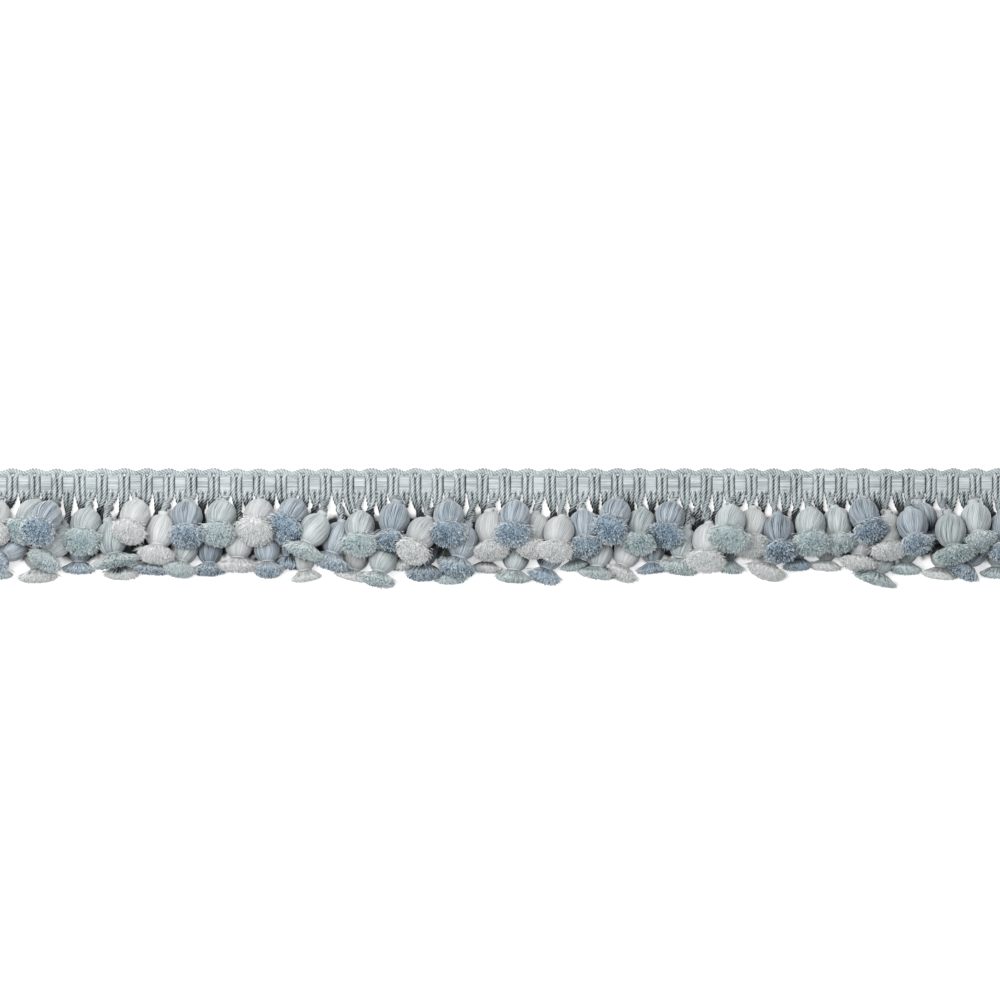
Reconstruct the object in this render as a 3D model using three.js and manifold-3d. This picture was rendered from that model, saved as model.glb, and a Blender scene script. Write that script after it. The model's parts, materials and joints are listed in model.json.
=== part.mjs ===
// Tassel fringe trim, a cut length lying face up on a table, in millimetres with +Z up.
// A woven heading carries pairs of cords as ribs and ends in a scalloped cord at its upper edge.
// Below its lower edge the cords run on as hanging loops, and every loop holds one onion tassel:
// a round head of yarn, a bound neck and a flared, cut skirt. The tassels lie in a loose pile,
// the short-looped ones propped on the long-looped ones, so that their cut faces look up.
// X runs along the trim, Y across it towards the scalloped edge, Z out of its face.
// The origin is the middle of the heading's flat back.
import * as THREE from "three";
import { mergeVertices } from "three/addons/utils/BufferGeometryUtils.js";
import Module from "manifold-3d";

const wasm = await Module();
wasm.setup();

// Heading: one repeat is a woven panel and a pair of cords. Heights are above the table.
const REPEAT = 11.19;
const REPEATS = 46;
const TRIM_LENGTH = REPEAT * REPEATS;
const CORD = 2.8;
const HEADING_LOW = -4.4;
const PANEL_HIGH = 2.6;
const EDGE_CORD_MIDDLE = 4.6;
const SCALLOP_VALLEY = 5.6;
const SCALLOP_PEAK = 7.3;
const GROUND_HEIGHT = 2.0;
const RIB_HEIGHT = 3.7;
const VALLEY_HEIGHT = 2.8;
const EDGE_CORD_HEIGHT = 3.4;
const OUTER_EDGE_HEIGHT = 1.6;
const GAP = 0.35;

// Loops: the strip is the heading's lowest edge, in which the hanging cords are rooted. A front
// loop leaves it in line with a pair of cords, a back loop lower down, behind a woven panel.
const STRIP_LOW = -6.8;
const STRIP_HIGH = HEADING_LOW - GAP;
const STRIP_MIDDLE = (STRIP_LOW + STRIP_HIGH) / 2;
const STRIP_HEIGHT = 3.8;
const FRONT_LOOPS = { first: 0.5, count: REPEATS, height: 2.5, steps: 2, gap: GAP, lifted: true };
const BACK_LOOPS = { first: 1, count: REPEATS - 1, height: 1.3, steps: 3, gap: 0.85, lifted: false };
const FRONT_LOOP_LIMIT = -27;

// A leg of a loop is a strand of a few sides. Swing is how far it runs on as it set out and as it
// arrives, as a share of its length, and sunk is how deep it goes into a tassel beneath.
const LEG = 2.4;
const LEG_SIDES = 3;
const LEG_APART = 2.8;
const LEG_APART_AT_CROWN = 2.6;
const LEG_SWING = 0.4;
const LEG_SUNK = 2.5;
const LEG_REST = 1.4;

// Tassel outline from the crown to the cut face: along is measured down the axis from the middle
// of the head, and lobe is how far every other meridian stands proud, as a share of the radius.
const OUTLINE = [
  { along: -7.9, radius: 2.5, lobe: 0 },
  { along: -5.6, radius: 5.3, lobe: 0.02 },
  { along: -0.4, radius: 7.1, lobe: 0.02 },
  { along: 5.2, radius: 5.8, lobe: 0.02 },
  { along: 8.5, radius: 3.9, lobe: 0 },
  { along: 13.7, radius: 8.4, lobe: 0.05 },
];
const CUT_FACE = 15.7;
const CROWN = -OUTLINE[0].along;
const SIDES = 10;
const SIDES_BENEATH = 6;
const LYING_RISE = 5;

// Room in the pile: the stem is the cord's last stretch at the crown, which neighbours keep clear
// of. A tassel whose head starts low lies on the table, and any other clears the long cords.
const STEM = 3.6;
const ROOM_AT_STRIP = 0.6;
const ROOM_OVER_CORDS = 4.0;
const LYING_START = 8.5;

// Yarn colours.
const YARN = { heading: 0xb4bec0, blue: 0x8c9cab, sage: 0xa9b6b8, silver: 0xcbcecd };

// The tassels that show, as they lie: the middle of the head along and across the trim, the lean
// of the axis from straight down, positive to the right, and the rise of the skirt off the table,
// both in degrees, how high in the pile it starts, its size as a share of the outline, its yarn.
const LOOSE_COLUMNS = ["x", "y", "lean", "rise", "start", "size", "yarn"];
const LOOSE = [
  [-255, -21, -6, 40, 14, 1.0, "sage"],
  [-245.5, -18, 0, 46, 16, 1.0, "silver"],
  [-240.5, -34.5, -50, 30, 8, 0.88, "blue"],
  [-234, -16.5, -29, 40, 12, 0.96, "sage"],
  [-230, -35.5, 0, 8, 8, 0.94, "silver"],
  [-223, -17.5, -27, 52, 18, 1.0, "blue"],
  [-215, -29, -30, 24, 15, 1.0, "sage"],
  [-202.5, -22, -7, 46, 16, 1.0, "sage"],
  [-192.5, -28.5, 12, 10, 17, 1.0, "sage"],
  [-178.5, -17.5, -18, 48, 18, 1.0, "silver"],
  [-170, -33, -3, 8, 8, 0.9, "blue"],
  [-167, -25.5, -9, 20, 19, 1.0, "silver"],
  [-155.5, -33, -13, 18, 13, 0.9, "sage"],
  [-153, -17.5, 2, 42, 17, 1.0, "blue"],
  [-142, -33, 0, 10, 8, 0.86, "blue"],
  [-134.5, -15.5, -6, 46, 17, 1.0, "sage"],
  [-128, -31, -3, 8, 11, 0.94, "silver"],
  [-116, -15.5, -13, 50, 17, 1.0, "silver"],
  [-113.5, -32, 3, 12, 9, 0.85, "blue"],
  [-98.5, -17.5, -28, 48, 15, 1.0, "blue"],
  [-88.5, -24, -26, 15, 18, 1.0, "sage"],
  [-77.5, -31.5, -18, 14, 12, 1.0, "blue"],
  [-66, -21, 0, 44, 17, 0.96, "sage"],
  [-55.5, -36, -14, 14, 9, 0.9, "sage"],
  [-51.5, -20, -9, 28, 15, 1.0, "blue"],
  [-38, -23.5, -28, 38, 18, 1.0, "silver"],
  [-37, -34.5, 0, 10, 8, 0.88, "blue"],
  [-23.5, -18.5, -3, 48, 17, 1.0, "blue"],
  [-14, -29, -14, 12, 14, 1.0, "blue"],
  [-4.5, -23.5, 3, 26, 18, 1.0, "silver"],
  [10.5, -18.5, -8, 46, 17, 1.0, "blue"],
  [11, -37, -7, 6, 8, 0.9, "sage"],
  [22.5, -21.5, -5, 38, 13, 1.0, "silver"],
  [33, -28, -13, 40, 20, 1.0, "silver"],
  [44.5, -20.5, 5, 38, 14, 1.0, "blue"],
  [48.5, -35.5, -6, 10, 8, 0.88, "sage"],
  [61.5, -18.5, -23, 50, 18, 1.0, "blue"],
  [69, -36.5, -20, 10, 8, 0.9, "silver"],
  [72.5, -21, -8, 38, 14, 0.98, "sage"],
  [86, -20.5, -13, 44, 18, 1.0, "blue"],
  [94.5, -30.5, -11, 8, 11, 0.94, "sage"],
  [104, -29.5, -7, 34, 17, 1.0, "silver"],
  [116.5, -21.5, -8, 46, 17, 1.0, "sage"],
  [129, -21.5, -5, 34, 14, 1.0, "silver"],
  [139, -34.5, -16, 14, 8, 0.88, "silver"],
  [143, -22.5, 3, 36, 18, 1.0, "blue"],
  [160.5, -21.5, 0, 42, 18, 1.0, "sage"],
  [170.5, -21.5, 9, 34, 13, 0.98, "sage"],
  [183, -17, 20, 48, 19, 1.0, "blue"],
  [184, -32, -8, 18, 12, 0.88, "silver"],
  [194, -37, -18, 6, 8, 0.94, "sage"],
  [195, -21.5, 0, 28, 15, 0.96, "silver"],
  [206, -21.5, 9, 38, 18, 1.0, "blue"],
  [216.5, -20.5, 18, 10, 10, 0.92, "blue"],
  [226.5, -25, 9, 16, 17, 1.0, "sage"],
  [239.5, -19, 7, 26, 16, 1.0, "sage"],
  [241, -33.5, -32, 14, 9, 0.92, "blue"],
  [251.5, -22, 5, 30, 17, 1.0, "blue"],
];

// The tassels beneath, which lie flat on the table under the others, one piece with the loops.
const BENEATH_COLUMNS = ["x", "y", "lean", "size", "yarn"];
const BENEATH = [
  [-250, -35, 2, 0.88, "sage"],
  [-207, -33, 0, 0.88, "blue"],
  [-187, -35.5, 6, 0.86, "silver"],
  [-102, -31, -6, 0.78, "blue"],
  [-95.5, -37.5, 10, 0.86, "silver"],
  [-68.5, -37, -13, 0.88, "silver"],
  [-46, -32, 4, 0.78, "silver"],
  [-22, -37, 2, 0.88, "sage"],
  [-2.5, -34, -8, 0.76, "silver"],
  [28, -36.5, -16, 0.88, "blue"],
  [40, -33, 6, 0.78, "sage"],
  [79, -34, 2, 0.8, "blue"],
  [117, -32, -6, 0.86, "sage"],
  [151, -32, 4, 0.8, "blue"],
  [166, -33, -6, 0.78, "silver"],
  [206, -34, -4, 0.78, "sage"],
  [224, -36.5, -8, 0.8, "silver"],
  [252, -35.5, -4, 0.88, "sage"],
];

// Settling of the pile: its rounds, the last ones gentler, the moves of a round, how far off two
// tassels can still touch, the room they keep, and the points around one by which it feels others.
const ROUNDS = 500;
const CALM_ROUNDS = 200;
const CALM = 0.25;
const FALL = 0.1;
const PULL_BACK = 0.06;
const REACH = 34;
const ELBOW_ROOM = 0.6;
const FEELER_TURNS = 12;

const radians = THREE.MathUtils.degToRad;

function row(columns, values) {
  return Object.fromEntries(columns.map((name, i) => [name, values[i]]));
}

// The unit vector from a tassel's crown towards its skirt.
function axisOf(lean, rise) {
  const flat = Math.cos(radians(rise));
  const x = Math.sin(radians(lean)) * flat;
  const y = -Math.cos(radians(lean)) * flat;
  return new THREE.Vector3(x, y, Math.sin(radians(rise)));
}

// The outline that neighbours keep clear of: the tassel's own, with its cord's last stretch.
function feltOutline(size) {
  const stem = { along: -CROWN - STEM, radius: OUTLINE[0].radius, lobe: 0 };
  const rings = [stem, ...OUTLINE].map(({ along, radius, lobe }) => ({
    along: along * size,
    radius: radius * size * (1 + lobe),
  }));
  return [{ along: stem.along * size, radius: 0 }, ...rings, { along: CUT_FACE * size, radius: 0 }];
}

// Points on a tassel's surface, by which it feels its neighbours, from the middle of its head:
// rings at the outline's corners and halfway between them.
function feelersOf(outline, turned) {
  const halfway = outline.slice(1).map(({ along, radius }, i) => ({
    along: (along + outline[i].along) / 2,
    radius: (radius + outline[i].radius) / 2,
  }));
  return [...outline, ...halfway].flatMap(({ along, radius }) =>
    Array.from({ length: FEELER_TURNS }, (_, i) => {
      const turn = (i / FEELER_TURNS) * 2 * Math.PI;
      const point = new THREE.Vector3(radius * Math.cos(turn), along, radius * Math.sin(turn));
      return point.applyQuaternion(turned);
    }),
  );
}

function layTassel({ x, y, lean, rise, start, size, yarn }, loose) {
  const axis = axisOf(lean, rise);
  const turned = new THREE.Quaternion().setFromUnitVectors(new THREE.Vector3(0, 1, 0), axis);
  const outline = feltOutline(size);
  const feelers = feelersOf(outline, turned);
  const body = feelers.filter((point) => point.dot(axis) > -(CROWN + GAP) * size);
  const lowest = Math.min(...body.map((point) => point.z));
  const floor = (start > LYING_START ? ROOM_OVER_CORDS : GAP) - lowest;
  const edge = STRIP_LOW - ROOM_AT_STRIP - Math.max(...feelers.map((point) => point.y));
  const place = new THREE.Vector3(x, Math.min(y, edge), loose ? Math.max(start, floor) : -lowest);
  return { place, home: place.clone(), floor, edge, axis, turned, outline, feelers, size, yarn, loose };
}

// Signed distance from a point, given by its place along the axis and its distance out from it,
// to a tassel's felt outline, with the direction of the nearest way out.
function wayOut(outline, along, out) {
  let nearest = Infinity;
  let toAlong = 0;
  let toOut = 1;
  let inside = false;
  for (let i = 0; i + 1 < outline.length; i += 1) {
    const a = outline[i];
    const da = outline[i + 1].along - a.along;
    const dr = outline[i + 1].radius - a.radius;
    const share = ((along - a.along) * da + (out - a.radius) * dr) / (da * da + dr * dr);
    const t = Math.min(1, Math.max(0, share));
    const gapAlong = along - a.along - t * da;
    const gapOut = out - a.radius - t * dr;
    const distance = Math.hypot(gapAlong, gapOut);
    if (distance < nearest) {
      nearest = distance;
      toAlong = gapAlong;
      toOut = gapOut;
    }
    const across = da > 0 && along >= a.along && along < a.along + da;
    if (across) inside = out < a.radius + (dr * (along - a.along)) / da;
  }
  const sign = inside ? -1 : 1;
  const scale = sign / (nearest || 1);
  return { distance: sign * nearest, along: toAlong * scale, out: toOut * scale };
}

// How far the deepest of one tassel's feelers has to move to clear another, as a vector.
function push(tassel, other) {
  const first = other.outline[0].along - ELBOW_ROOM;
  const last = other.outline[other.outline.length - 1].along + ELBOW_ROOM;
  const between = tassel.place.clone().sub(other.place);
  const toFeeler = new THREE.Vector3();
  let deepest = ELBOW_ROOM;
  let move = null;
  for (const feeler of tassel.feelers) {
    toFeeler.addVectors(between, feeler);
    const along = toFeeler.dot(other.axis);
    if (along < first || along > last) continue;
    const out = Math.sqrt(Math.max(0, toFeeler.lengthSq() - along * along));
    const way = wayOut(other.outline, along, out);
    if (way.distance >= deepest) continue;
    deepest = way.distance;
    const sideways = toFeeler.clone().addScaledVector(other.axis, -along).normalize();
    move = sideways.multiplyScalar(way.out).addScaledVector(other.axis, way.along);
  }
  return move && move.multiplyScalar(ELBOW_ROOM - deepest);
}

// Each round the tassels fall a little, are drawn back to where they were laid, and push apart.
function settle(tassels) {
  const loose = tassels.filter((tassel) => tassel.loose);
  for (let round = 0; round < ROUNDS; round += 1) {
    const strength = round < ROUNDS - CALM_ROUNDS ? 1 : CALM;
    for (const { place, home } of loose) {
      place.x += strength * PULL_BACK * (home.x - place.x);
      place.y += strength * PULL_BACK * (home.y - place.y);
      place.z -= strength * FALL;
    }
    for (const tassel of tassels) {
      for (const other of tassels) {
        const apart = tassel === other || tassel.place.distanceTo(other.place) > REACH;
        if (apart || !(tassel.loose || other.loose)) continue;
        const move = push(tassel, other);
        if (!move) continue;
        const share = tassel.loose && other.loose ? 0.5 : 1;
        if (tassel.loose) tassel.place.addScaledVector(move, share);
        if (other.loose) other.place.addScaledVector(move, -share);
      }
      if (!tassel.loose) continue;
      tassel.place.y = Math.min(tassel.place.y, tassel.edge);
      tassel.place.z = Math.max(tassel.place.z, tassel.floor);
    }
  }
}

const beneath = BENEATH.map((values) => {
  return layTassel({ ...row(BENEATH_COLUMNS, values), rise: LYING_RISE, start: 0 }, false);
});
const loose = LOOSE.map((values) => layTassel(row(LOOSE_COLUMNS, values), true));
const tassels = [...loose, ...beneath];
settle(tassels);

// A closed geometry with its shared corners merged and its slivers at the poles left out.
function closed(geometry) {
  geometry.deleteAttribute("normal");
  geometry.deleteAttribute("uv");
  const merged = mergeVertices(geometry, 1e-4);
  const corners = merged.index.array;
  const kept = [];
  for (let i = 0; i < corners.length; i += 3) {
    const [a, b, c] = corners.slice(i, i + 3);
    if (a !== b && b !== c && c !== a) kept.push(a, b, c);
  }
  merged.setIndex(kept);
  return merged;
}

function solidFrom(geometry) {
  const vertProperties = new Float32Array(geometry.attributes.position.array);
  const triVerts = new Uint32Array(geometry.index.array);
  return new wasm.Manifold(new wasm.Mesh({ numProp: 3, vertProperties, triVerts }));
}

function geometryFrom(solid) {
  const { vertProperties, triVerts } = solid.getMesh();
  const geometry = new THREE.BufferGeometry();
  geometry.setAttribute("position", new THREE.BufferAttribute(vertProperties, 3));
  geometry.setIndex(new THREE.BufferAttribute(triVerts, 1));
  return geometry;
}

function yarnMesh(name, geometry, yarn) {
  geometry.computeVertexNormals();
  const material = new THREE.MeshStandardMaterial({ color: YARN[yarn], roughness: 0.75, metalness: 0 });
  const mesh = new THREE.Mesh(geometry, material);
  mesh.name = name;
  return mesh;
}

// One tassel about its axis, +Y from crown to skirt, with the meridians in and out by turns.
function tasselGeometry(size, sides) {
  const profile = [
    { along: -CROWN, radius: 0, lobe: 0 },
    ...OUTLINE,
    { along: CUT_FACE, radius: 0, lobe: 0 },
  ];
  const points = profile.map(({ along, radius }) => new THREE.Vector2(radius * size, along * size));
  const geometry = new THREE.LatheGeometry(points, sides);
  const position = geometry.attributes.position;
  for (let i = 0; i < position.count; i += 1) {
    const meridian = Math.floor(i / profile.length);
    const { lobe } = profile[i % profile.length];
    const swell = 1 + (meridian % 2 ? -lobe : lobe);
    position.setXYZ(i, position.getX(i) * swell, position.getY(i), position.getZ(i) * swell);
  }
  return closed(geometry);
}

function placedTassel({ place, turned, size }) {
  return tasselGeometry(size, SIDES_BENEATH).applyQuaternion(turned).translate(...place.toArray());
}

// The heading's face, raised in ribs along Y: across is the place in a repeat, from its pair's
// middle, and a row of the face is a line along the trim, lifted over the edge cord.
const RIBS = [
  { across: -CORD, height: GROUND_HEIGHT },
  { across: -CORD / 2, height: RIB_HEIGHT },
  { across: 0, height: VALLEY_HEIGHT },
  { across: CORD / 2, height: RIB_HEIGHT },
  { across: CORD, height: GROUND_HEIGHT },
];

// One section of the heading across the trim, from the back of its lower edge over the face.
function headingSection({ x, height, scallop }) {
  const outer = SCALLOP_VALLEY + scallop * (SCALLOP_PEAK - SCALLOP_VALLEY);
  return [
    [x, HEADING_LOW, 0],
    [x, HEADING_LOW, height],
    [x, PANEL_HIGH, height],
    [x, EDGE_CORD_MIDDLE, EDGE_CORD_HEIGHT],
    [x, outer, OUTER_EDGE_HEIGHT],
    [x, outer, 0],
  ];
}

// The sections joined by strips of triangles, with a fan over each end.
function headingGeometry() {
  const end = TRIM_LENGTH / 2;
  const places = [{ x: -end, height: GROUND_HEIGHT, scallop: 0 }];
  for (let k = 0; k < REPEATS; k += 1) {
    const middle = (k + 0.5) * REPEAT - end;
    for (const { across, height } of RIBS) {
      const scallop = (1 + Math.cos((2 * Math.PI * across) / REPEAT)) / 2;
      places.push({ x: middle + across, height, scallop });
    }
  }
  places.push({ x: end, height: GROUND_HEIGHT, scallop: 0 });
  const sections = places.map(headingSection);
  const around = sections[0].length;
  const last = (sections.length - 1) * around;
  const corners = [];
  for (let start = 0; start < last; start += around) {
    for (let j = 0; j < around; j += 1) {
      const a = start + j;
      const b = start + ((j + 1) % around);
      corners.push(a, a + around, b, b, a + around, b + around);
    }
  }
  for (let j = 1; j + 1 < around; j += 1) {
    corners.push(0, j, j + 1);
    corners.push(last, last + j + 1, last + j);
  }
  const geometry = new THREE.BufferGeometry();
  geometry.setAttribute("position", new THREE.Float32BufferAttribute(sections.flat(2), 3));
  geometry.setIndex(corners);
  return geometry;
}

// One leg of a loop: straight out of the strip, down to the table if it is long, and along the
// tassel's axis up to its crown, just short of a loose tassel and sunk into one beneath.
function legGeometry({ place, axis, size, loose }, loops, slotX, side) {
  const root = new THREE.Vector3(slotX + (side * LEG_APART) / 2, STRIP_MIDDLE, loops.height);
  const reach = loose ? -loops.gap : LEG_SUNK;
  const end = place.clone().addScaledVector(axis, reach - CROWN * size);
  const sideways = new THREE.Vector3(-axis.y, axis.x, 0).normalize();
  end.addScaledVector(sideways, (side * LEG_APART_AT_CROWN) / 2);
  const swing = LEG_SWING * root.distanceTo(end);
  const leaving = new THREE.Vector3(root.x, root.y - swing, root.z);
  const arriving = end.clone().addScaledVector(axis, -swing);
  arriving.z = loops.lifted ? Math.max(arriving.z, LEG_REST) : LEG_REST;
  const extrudePath = new THREE.CubicBezierCurve3(root, leaving, arriving, end);
  const corners = Array.from({ length: LEG_SIDES }, (_, i) => {
    const turn = (i / LEG_SIDES) * 2 * Math.PI;
    return new THREE.Vector2(Math.cos(turn), Math.sin(turn)).multiplyScalar(LEG / 2);
  });
  const options = { steps: loops.steps, extrudePath, bevelEnabled: false };
  return closed(new THREE.ExtrudeGeometry(new THREE.Shape(corners), options));
}

// A row of loops takes its tassels in order along the trim, each on the nearest slot left.
function legsOf(row, loops) {
  const crownX = ({ place, axis, size }) => place.x - axis.x * CROWN * size;
  const inOrder = [...row].sort((a, b) => crownX(a) - crownX(b));
  let slot = -1;
  return inOrder.flatMap((tassel, i) => {
    const nearest = Math.round((crownX(tassel) + TRIM_LENGTH / 2) / REPEAT - loops.first);
    const last = loops.count - (inOrder.length - i);
    slot = Math.min(Math.max(nearest, slot + 1), last);
    const slotX = (slot + loops.first) * REPEAT - TRIM_LENGTH / 2;
    return [-1, 1].map((side) => legGeometry(tassel, loops, slotX, side));
  });
}

function loopsGeometry() {
  const strip = new THREE.BoxGeometry(TRIM_LENGTH, STRIP_HIGH - STRIP_LOW, STRIP_HEIGHT);
  strip.translate(0, STRIP_MIDDLE, STRIP_HEIGHT / 2);
  const onFront = ({ home }) => home.y > FRONT_LOOP_LIMIT;
  const pieces = [
    ...legsOf(tassels.filter(onFront), FRONT_LOOPS),
    ...legsOf(tassels.filter((tassel) => !onFront(tassel)), BACK_LOOPS),
    ...beneath.map(placedTassel),
  ];
  const joined = pieces.reduce((solid, piece) => solid.add(solidFrom(piece)), solidFrom(closed(strip)));
  return geometryFrom(joined);
}

const trim = new THREE.Group();
trim.add(yarnMesh("heading", headingGeometry(), "heading"));
trim.add(yarnMesh("cord_loops", loopsGeometry(), "heading"));
loose.forEach((tassel, i) => {
  const name = `tassel_${String(i + 1).padStart(2, "0")}`;
  const mesh = yarnMesh(name, tasselGeometry(tassel.size, SIDES), tassel.yarn);
  mesh.position.copy(tassel.place);
  mesh.quaternion.copy(tassel.turned);
  trim.add(mesh);
});

export default trim;
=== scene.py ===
# %% [markdown]
# # A tassel fringe in three yarns
#
# A furnishing fringe has three kinds of piece: a narrow woven heading, twisted cords that stand on
# it as ribs and run on below it as loops, and an onion tassel in every loop. The CAD model holds
# plain solids for all of them. This lesson loads that model and lays yarn over it, piece by piece.
# Every piece is a surface worked out with numpy in millimetres, and turned to metres at the end.

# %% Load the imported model
import json

import bpy
import numpy as np
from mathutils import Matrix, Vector


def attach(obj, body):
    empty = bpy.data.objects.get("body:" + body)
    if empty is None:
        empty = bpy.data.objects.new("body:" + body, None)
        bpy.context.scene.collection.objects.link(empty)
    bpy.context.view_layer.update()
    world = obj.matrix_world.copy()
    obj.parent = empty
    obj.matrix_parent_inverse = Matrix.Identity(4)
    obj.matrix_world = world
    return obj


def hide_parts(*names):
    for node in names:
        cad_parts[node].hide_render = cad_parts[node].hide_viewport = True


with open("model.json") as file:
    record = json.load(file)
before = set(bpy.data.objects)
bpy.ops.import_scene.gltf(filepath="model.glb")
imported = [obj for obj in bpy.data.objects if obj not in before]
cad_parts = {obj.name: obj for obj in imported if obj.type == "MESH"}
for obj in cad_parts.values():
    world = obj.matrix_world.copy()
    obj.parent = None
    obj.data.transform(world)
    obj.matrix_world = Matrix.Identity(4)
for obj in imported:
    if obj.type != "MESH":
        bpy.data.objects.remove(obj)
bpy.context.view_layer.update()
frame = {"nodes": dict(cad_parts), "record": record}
MM = 0.001

# %% [markdown]
# ## Camera, floor and light
#
# The trim lies flat and is seen from straight above, so the camera looks down at the table and
# its picture is half a metre wide there. A long lens from far off keeps the tassels at the ends
# from leaning outwards. A broad soft light stands up and to the left, as the shading on the heads
# shows, and an even pale sky fills the rest. The floor is white paper, but hardly any light gets in
# under the pile. So there the paper is painted dark, in a band along the trim with an uneven edge.

# %% Camera
VIEW_MIDDLE = (3.0, -9.0)
VIEW_WIDTH = 500.0
LENS = 200.0

scene = bpy.context.scene
camera = bpy.data.objects.new("camera", bpy.data.cameras.new("camera"))
camera.data.lens = LENS
camera.data.clip_end = 20.0
CAMERA_HEIGHT = VIEW_WIDTH * LENS / camera.data.sensor_width
camera.location = (VIEW_MIDDLE[0] * MM, VIEW_MIDDLE[1] * MM, CAMERA_HEIGHT * MM)
scene.collection.objects.link(camera)
scene.camera = camera
scene.view_settings.view_transform = "Standard"
print(f"camera {CAMERA_HEIGHT:.0f} mm above the table")


# %% Colours and nodes
def linear(code):
    """Linear RGBA of an sRGB hex code: c / 12.92 for the darkest tones, a 2.4 power for the rest."""
    channels = np.array([int(code[i:i + 2], 16) for i in (1, 3, 5)]) / 255
    low = channels / 12.92
    high = ((channels + 0.055) / 1.055) ** 2.4
    return (*np.where(channels <= 0.04045, low, high).tolist(), 1.0)


def add(tree, kind, inputs=None, stops=None, **settings):
    """Add a node. An input is a plain value, or a pair of a node and its output to link from. A ramp's
    stops begin with its two ends."""
    node = tree.nodes.new(kind)
    for name, value in settings.items():
        setattr(node, name, value)
    for name, value in (inputs or {}).items():
        if isinstance(value, tuple) and isinstance(value[0], bpy.types.Node):
            tree.links.new(value[0].outputs[value[1]], node.inputs[name])
        else:
            node.inputs[name].default_value = value
    for i, (place, colour) in enumerate(stops or ()):
        elements = node.color_ramp.elements
        element = elements[i] if i < 2 else elements.new(place)
        element.position = place
        element.color = colour
    return node


def new_material(name):
    """An empty material with its node tree and an output node."""
    material = bpy.data.materials.new(name)
    material.use_nodes = True
    material.node_tree.nodes.clear()
    output = material.node_tree.nodes.new("ShaderNodeOutputMaterial")
    return material, material.node_tree, output


# %% Floor
# Matt white paper with a fine grain. A little light of its own keeps it white beside the trim and in
# the small gaps between cords. The band of shade fades over its edge, which wanders in patches.
FLOOR_SIDE = 8.0
FLOOR_DROP = 0.05 * MM
FLOOR_GLOW = 0.5
PAPER_GRAIN = 10 / 9 * MM
GRAIN_DEPTH = 0.1 * MM
PILE_LOW, PILE_HIGH = -36 * MM, -19 * MM
PILE_END = 252 * MM
PILE_EDGE = 4 * MM
SHADE_PATCH = 9 * MM
SHADE_WANDER = 18 * MM

paper, tree, output = new_material("matt_white_paper")
place = add(tree, "ShaderNodeTexCoord")
grain = add(tree, "ShaderNodeTexNoise", {"Vector": (place, "Object"), "Scale": 1 / PAPER_GRAIN})
across = add(tree, "ShaderNodeSeparateXYZ", {"Vector": (place, "Object")})
aside = add(tree, "ShaderNodeMath", {0: (across, "X")}, operation="ABSOLUTE")
patch = add(tree, "ShaderNodeTexNoise", {"Vector": (place, "Object"), "Scale": 1 / SHADE_PATCH})
centred = add(tree, "ShaderNodeMath", {0: (patch, "Fac"), 1: 0.5}, operation="SUBTRACT")
edge = add(tree, "ShaderNodeMath", {0: (centred, "Value"), 1: SHADE_WANDER, 2: (across, "Y")},
           operation="MULTIPLY_ADD")
below = add(tree, "ShaderNodeMapRange", {0: (edge, "Value"), 1: PILE_LOW - PILE_EDGE, 2: PILE_LOW})
above = add(tree, "ShaderNodeMapRange", {0: (edge, "Value"), 1: PILE_HIGH + PILE_EDGE, 2: PILE_HIGH})
within = add(tree, "ShaderNodeMapRange", {0: (aside, "Value"), 1: PILE_END, 2: PILE_END - PILE_EDGE})
band = add(tree, "ShaderNodeMath", {0: (below, "Result"), 1: (above, "Result")}, operation="MULTIPLY")
deep = add(tree, "ShaderNodeMath", {0: (band, "Value"), 1: (within, "Result")}, operation="MULTIPLY")
glow = add(tree, "ShaderNodeMapRange", {0: (deep, "Value"), 3: FLOOR_GLOW, 4: 0.0})
shaded = add(tree, "ShaderNodeMix", {
    0: (deep, "Value"), 6: linear("#f6f6f6"), 7: linear("#33393b")}, data_type="RGBA")
shader = add(tree, "ShaderNodeBsdfPrincipled", {
    "Base Color": (shaded, 2),
    "Roughness": 0.9,
    "Emission Color": (1.0, 1.0, 1.0, 1.0),
    "Emission Strength": (glow, "Result"),
})
relief = add(tree, "ShaderNodeBump", {
    "Height": (grain, "Fac"), "Strength": 0.03, "Distance": GRAIN_DEPTH})
tree.links.new(relief.outputs["Normal"], shader.inputs["Normal"])
tree.links.new(shader.outputs["BSDF"], output.inputs["Surface"])

half = FLOOR_SIDE / 2
floor_mesh = bpy.data.meshes.new("floor")
corners = [(-half, -half), (half, -half), (half, half), (-half, half)]
floor_mesh.from_pydata([(x, y, -FLOOR_DROP) for x, y in corners], [], [(0, 1, 2, 3)])
floor_mesh.materials.append(paper)
floor = bpy.data.objects.new("floor", floor_mesh)
scene.collection.objects.link(floor)
print(f"floor of {FLOOR_SIDE:.0f} m, in shade under {2 * PILE_END / MM:.0f} mm of pile")

# %% Light
KEY_PLACE = np.array([-0.38, 0.22, 1.2])
KEY_SIZE = 0.8
KEY_POWER = 17.5
SKY_STRENGTH = 0.62

key = bpy.data.objects.new("key_light", bpy.data.lights.new("key_light", "AREA"))
key.data.size = KEY_SIZE
key.data.energy = KEY_POWER
key.location = KEY_PLACE
key.rotation_euler = Vector(KEY_PLACE).to_track_quat("Z", "Y").to_euler()
scene.collection.objects.link(key)
sky = bpy.data.worlds.new("pale_sky")
sky.use_nodes = True
sky.node_tree.nodes["Background"].inputs["Color"].default_value = (1.0, 1.0, 1.0, 1.0)
sky.node_tree.nodes["Background"].inputs["Strength"].default_value = SKY_STRENGTH
scene.world = sky
print(f"key light of {KEY_POWER} W, sky of strength {SKY_STRENGTH}")

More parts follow.
